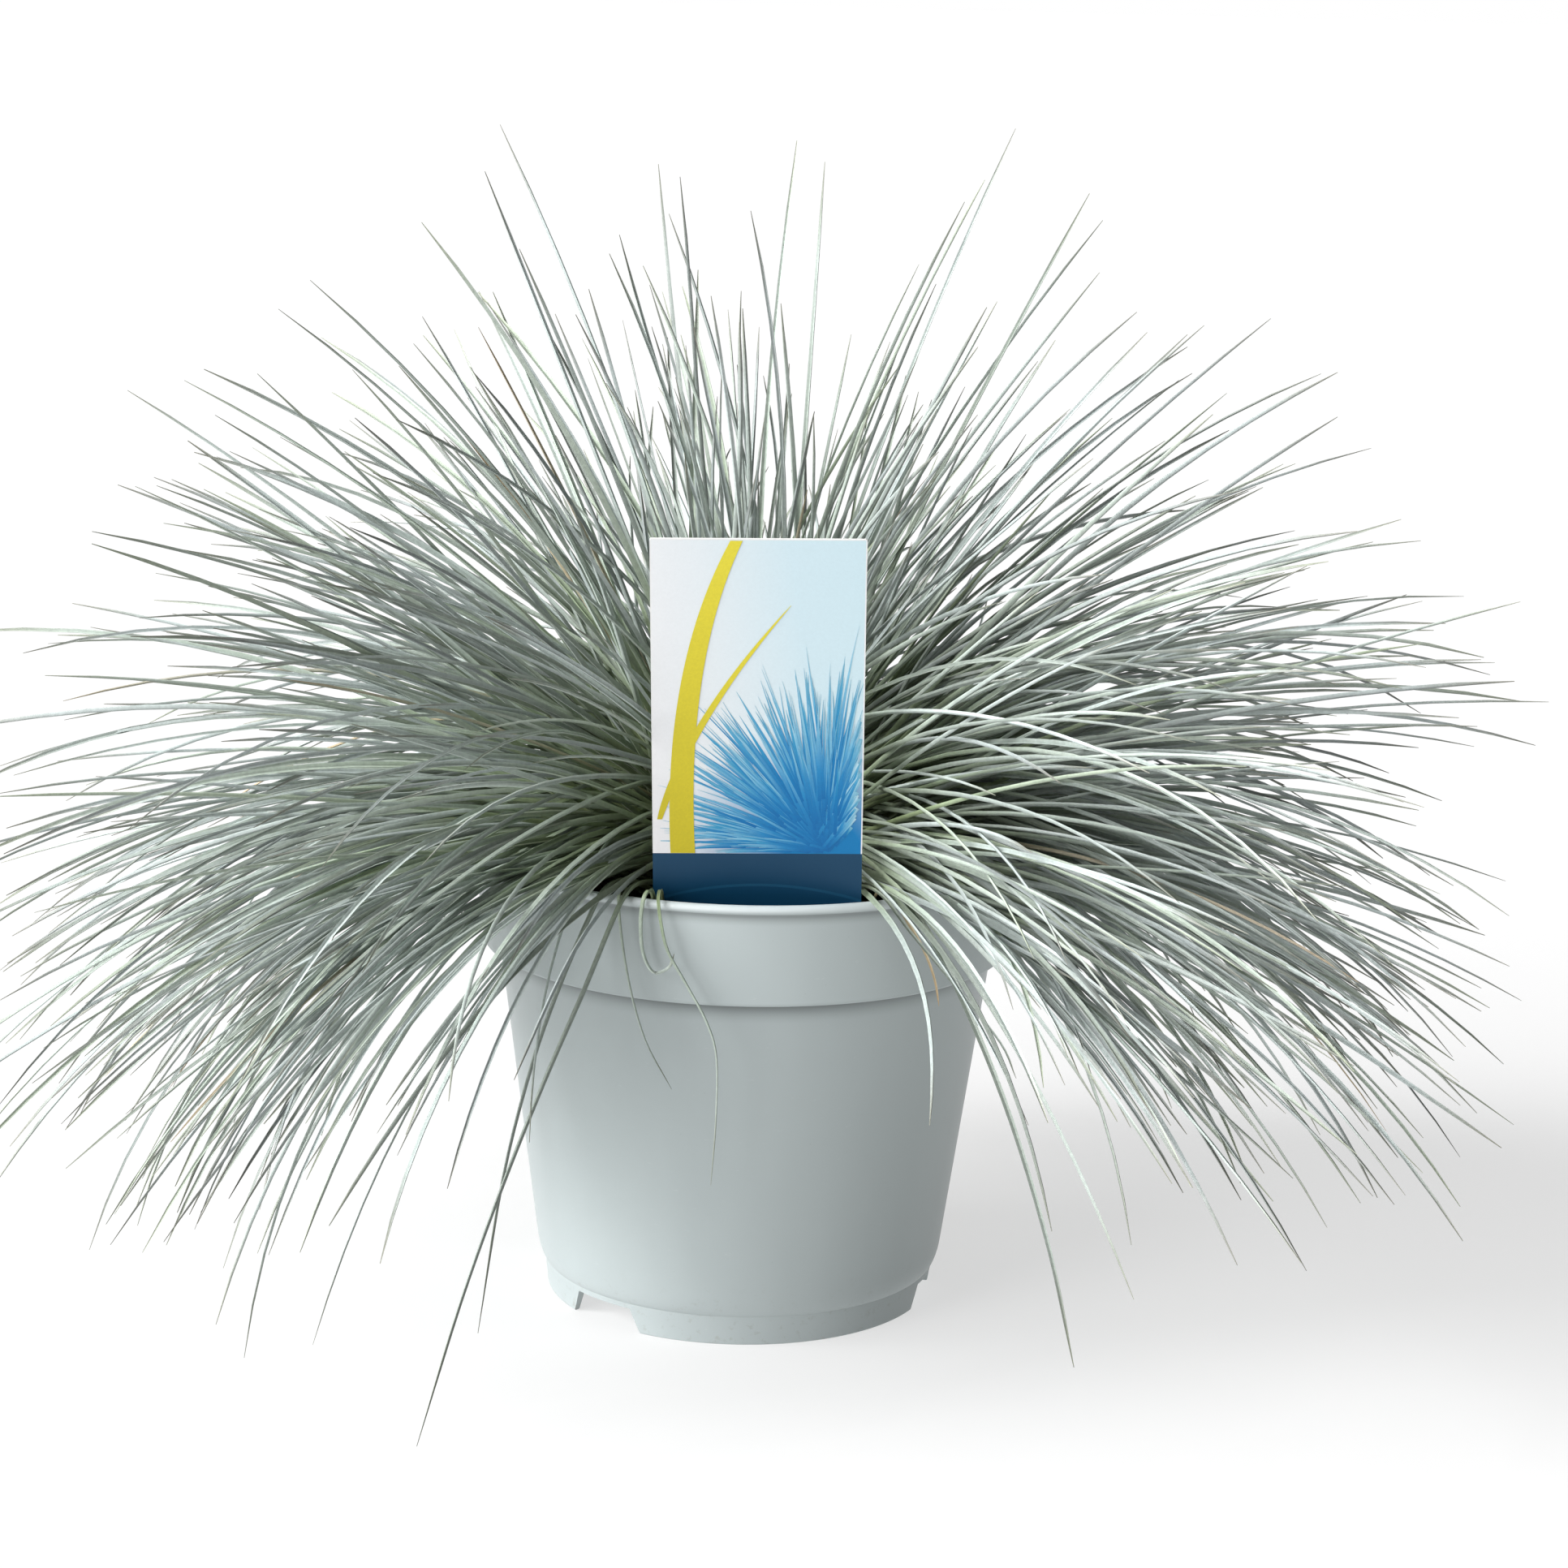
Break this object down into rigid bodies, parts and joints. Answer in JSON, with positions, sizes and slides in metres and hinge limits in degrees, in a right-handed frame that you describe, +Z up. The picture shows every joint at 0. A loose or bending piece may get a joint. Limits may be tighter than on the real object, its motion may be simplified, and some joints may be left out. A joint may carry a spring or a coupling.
{
  "type": "potted blue fescue clump",
  "caption": "Clump of fine silver-blue grass leaves arching from a round tapered nursery pot with a collar, a notched foot and an upright plant label.",
  "frame": {"origin": "on the pot's axis, in the plane of its foot", "axes": "+Z up along the pot's axis; -Y is the front, which the label faces; +X is to the right seen from the front"},
  "size_m": [0.3992, 0.303, 0.2963],
  "materials": {
    "pot_plastic": "satin moulded plastic, light grey-green",
    "potting_mix": "dark loose bark and peat crumbs",
    "label_card": "printed card, pale blue with white cut edges",
    "crown_sheath": "packed leaf bases, olive green to straw",
    "leaf_blue": "fine folded leaves with a silver-blue waxy bloom",
    "leaf_single": "fine folded leaf, pale blue-green",
    "leaf_dry": "dry tan leaf"
  },
  "bodies": {
    "root": {"crown": "crown_sheath", "leaf_front_right": "leaf_single", "leaf_hanging_dry": "leaf_dry", "leaf_hanging_left": "leaf_single", "leaf_hanging_short": "leaf_single", "leaf_hooked": "leaf_single", "leaf_long_front_left": "leaf_single", "leaf_long_front_right": "leaf_single", "leaf_second_front_left": "leaf_single", "plant_label": "label_card", "pot": "pot_plastic", "potting_mix": "potting_mix", "sheaf_fringe_01": "leaf_blue", "sheaf_fringe_02": "leaf_blue", "sheaf_fringe_03": "leaf_blue", "sheaf_fringe_04": "leaf_blue", "sheaf_fringe_05": "leaf_blue", "sheaf_fringe_06": "leaf_blue", "sheaf_fringe_07": "leaf_blue", "sheaf_fringe_08": "leaf_blue", "sheaf_fringe_09": "leaf_blue", "sheaf_fringe_10": "leaf_blue", "sheaf_skirt_01": "leaf_blue", "sheaf_skirt_02": "leaf_blue", "sheaf_skirt_03": "leaf_blue", "sheaf_skirt_04": "leaf_blue", "sheaf_skirt_05": "leaf_blue", "sheaf_skirt_06": "leaf_blue", "sheaf_skirt_07": "leaf_blue", "sheaf_skirt_08": "leaf_blue", "sheaf_skirt_09": "leaf_blue", "sheaf_skirt_10": "leaf_blue", "sheaf_skirt_11": "leaf_blue", "sheaf_skirt_12": "leaf_blue", "sheaf_skirt_back": "leaf_blue", "sheaf_top_01": "leaf_blue", "sheaf_top_02": "leaf_blue", "sheaf_upper_01": "leaf_blue", "sheaf_upper_02": "leaf_blue", "sheaf_upper_03": "leaf_blue", "sheaf_upper_04": "leaf_blue", "sheaf_upper_back": "leaf_blue", "sheaf_upper_front": "leaf_blue"}
  },
  "joints": []
}
